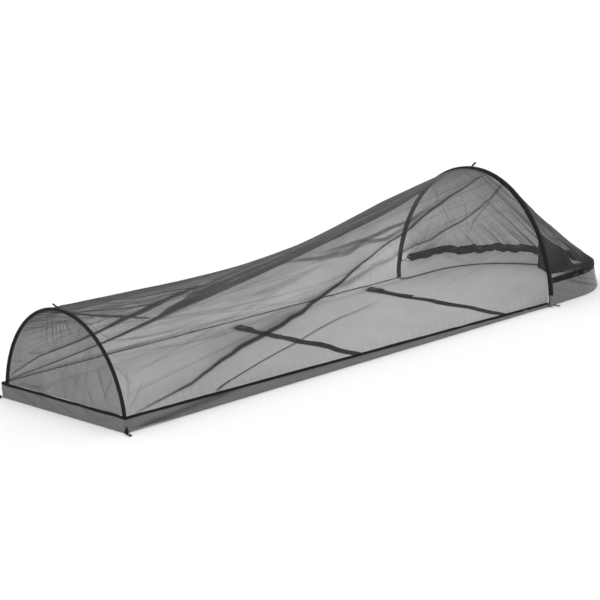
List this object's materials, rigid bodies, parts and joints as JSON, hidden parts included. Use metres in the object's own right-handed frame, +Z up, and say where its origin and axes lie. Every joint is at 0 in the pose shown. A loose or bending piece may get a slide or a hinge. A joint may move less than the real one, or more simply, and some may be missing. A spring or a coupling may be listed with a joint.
{
  "type": "bivy sack",
  "caption": "Low one-person netting shelter on a coated groundsheet, held up by a tall head hoop and a lower foot hoop, with a zip round the head end.",
  "frame": {"origin": "middle of the floor underside, on the ground", "axes": "+X from the foot hoop towards the head end, +Y to the far side, +Z up"},
  "size_m": [2.3583, 0.6978, 0.4404],
  "materials": {
    "floor_fabric": "coated nylon cloth, low sheen",
    "wall_fabric": "coated nylon cloth, low sheen",
    "netting": "fine insect netting, see-through",
    "dark_netting": "doubled dark netting",
    "binding_tape": "woven edge tape",
    "sleeve_fabric": "black woven cloth",
    "pole_tube": "dark anodised",
    "ferrule_metal": "satin",
    "shock_cord": "braided elastic cord",
    "hard_plastic": "satin moulded",
    "zip_tape": "woven tape",
    "zip_coil": "nylon coil",
    "slider_metal": "black enamel",
    "webbing": "flat woven webbing",
    "cord": "braided cord"
  },
  "bodies": {
    "root": {"corner_tab_far": "webbing", "corner_tab_near": "webbing", "floor_panel": "floor_fabric", "foot_binding": "binding_tape", "foot_wall": "wall_fabric", "head_canopy": "netting", "head_wall": "wall_fabric", "inner_pocket": "dark_netting", "inner_pocket_hem": "binding_tape", "main_canopy": "netting", "pad_strap_lower_anchor": "webbing", "pad_strap_lower_buckle_female": "hard_plastic", "pad_strap_lower_webbing": "webbing", "pad_strap_upper_anchor": "webbing", "pad_strap_upper_buckle_female": "hard_plastic", "pad_strap_upper_webbing": "webbing", "side_binding_far": "binding_tape", "side_binding_near": "binding_tape", "side_wall_far": "wall_fabric", "side_wall_near": "wall_fabric", "zip_coil_lower": "zip_coil", "zip_coil_upper": "zip_coil", "zip_end_stops": "zip_coil", "zip_storm_flap": "sleeve_fabric", "zip_tape_lower": "zip_tape", "zip_tape_upper": "zip_tape"},
    "head_hoop": {"head_pole_far": "pole_tube", "head_pole_ferrules": "ferrule_metal", "head_pole_near": "pole_tube", "head_pole_pocket_far": "sleeve_fabric", "head_pole_pocket_near": "sleeve_fabric", "head_pole_shock_cord": "shock_cord", "head_pole_sleeve": "sleeve_fabric", "head_pole_tips": "hard_plastic", "head_pole_top": "pole_tube"},
    "foot_hoop": {"foot_pole_far": "pole_tube", "foot_pole_ferrules": "ferrule_metal", "foot_pole_near": "pole_tube", "foot_pole_pocket_far": "sleeve_fabric", "foot_pole_pocket_near": "sleeve_fabric", "foot_pole_shock_cord": "shock_cord", "foot_pole_sleeve": "sleeve_fabric", "foot_pole_tips": "hard_plastic", "foot_pole_top": "pole_tube", "foot_mesh_panel": "netting"},
    "head_guy": {"head_guy_loop": "webbing"},
    "foot_guy": {"foot_guy_loop": "webbing"},
    "slider_side": {"zip_slider_side": "slider_metal"},
    "pull_side": {"zip_pull_side": "slider_metal"},
    "slider_arc": {"zip_slider_arc": "slider_metal"},
    "pull_arc": {"zip_pull_arc": "slider_metal"},
    "lower_buckle_male": {"pad_strap_lower_buckle_male": "hard_plastic"},
    "upper_buckle_male": {"pad_strap_upper_buckle_male": "hard_plastic"},
    "cord_near": {"corner_cord_near": "cord"},
    "cord_far": {"corner_cord_far": "cord"},
    "hoop_stake_near": {"stake_loop_hoop_near": "webbing"},
    "hoop_stake_far": {"stake_loop_hoop_far": "webbing"},
    "head_stake": {"stake_loop_head": "webbing"}
  },
  "joints": [
    {"name": "head_hoop_fold", "type": "hinge", "parent": "root", "child": "head_hoop", "pos_m": [0.66, 0, 0.0086], "axis": [0, -1, 0], "range_deg": [0, 80], "stiffness_Nm_per_rad": 1.5, "deforming": ["main_canopy", "head_canopy", "foot_mesh_panel", "zip_tape_upper", "zip_coil_upper", "zip_storm_flap", "inner_pocket", "inner_pocket_hem"]},
    {"name": "foot_hoop_fold", "type": "hinge", "parent": "root", "child": "foot_hoop", "pos_m": [-1.12, 0, 0.0093], "axis": [0, 1, 0], "range_deg": [0, 80], "stiffness_Nm_per_rad": 1, "deforming": ["main_canopy", "foot_mesh_panel"]},
    {"name": "head_guy_flip", "type": "hinge", "parent": "head_hoop", "child": "head_guy", "pos_m": [0.659, 0, 0.4376], "axis": [0, -1, 0], "range_deg": [0, 90]},
    {"name": "foot_guy_flip", "type": "hinge", "parent": "foot_hoop", "child": "foot_guy", "pos_m": [-1.119, 0, 0.292], "axis": [0, 1, 0], "range_deg": [0, 90]},
    {"name": "side_slider_travel", "type": "slide", "parent": "root", "child": "slider_side", "axis": [-1, 0, 0], "range_m": [0, 0.116]},
    {"name": "side_pull_swing", "type": "hinge", "parent": "slider_side", "child": "pull_side", "pos_m": [0.826, -0.3164, 0.0804], "axis": [0, 0, 1], "range_deg": [0, 120]},
    {"name": "arc_slider_travel", "type": "hinge", "parent": "root", "child": "slider_arc", "pos_m": [0.84, 0, 0.0804], "axis": [0, 0, 1], "range_deg": [0, 170]},
    {"name": "arc_pull_swing", "type": "hinge", "parent": "slider_arc", "child": "pull_arc", "pos_m": [0.8608, -0.31572, 0.0804], "axis": [0, 0, -1], "range_deg": [0, 120]},
    {"name": "lower_buckle_release", "type": "slide", "parent": "root", "child": "lower_buckle_male", "axis": [0, -1, 0], "range_m": [0, 0.045], "deforming": ["pad_strap_lower_webbing"]},
    {"name": "upper_buckle_release", "type": "slide", "parent": "root", "child": "upper_buckle_male", "axis": [0, -1, 0], "range_m": [0, 0.045], "deforming": ["pad_strap_upper_webbing"]},
    {"name": "near_corner_cord_swing", "type": "hinge", "parent": "root", "child": "cord_near", "pos_m": [-1.14039, -0.26791, 0.002], "axis": [-0.6428, 0.766, 0], "range_deg": [0, 90]},
    {"name": "far_corner_cord_swing", "type": "hinge", "parent": "root", "child": "cord_far", "pos_m": [-1.14039, 0.26791, 0.002], "axis": [0.6428, 0.766, 0], "range_deg": [0, 90]},
    {"name": "near_hoop_stake_flip", "type": "hinge", "parent": "root", "child": "hoop_stake_near", "pos_m": [0.684, -0.3179, 0.0019], "axis": [-1, 0, 0], "range_deg": [0, 85]},
    {"name": "far_hoop_stake_flip", "type": "hinge", "parent": "root", "child": "hoop_stake_far", "pos_m": [0.684, 0.3179, 0.0019], "axis": [1, 0, 0], "range_deg": [0, 85]},
    {"name": "head_stake_flip", "type": "hinge", "parent": "root", "child": "head_stake", "pos_m": [1.1681, 0, 0.0019], "axis": [0, -1, 0], "range_deg": [0, 85]}
  ],
  "couplings": [
    {"joint": "foot_hoop_fold", "follows": "head_hoop_fold", "ratio": 1}
  ]
}
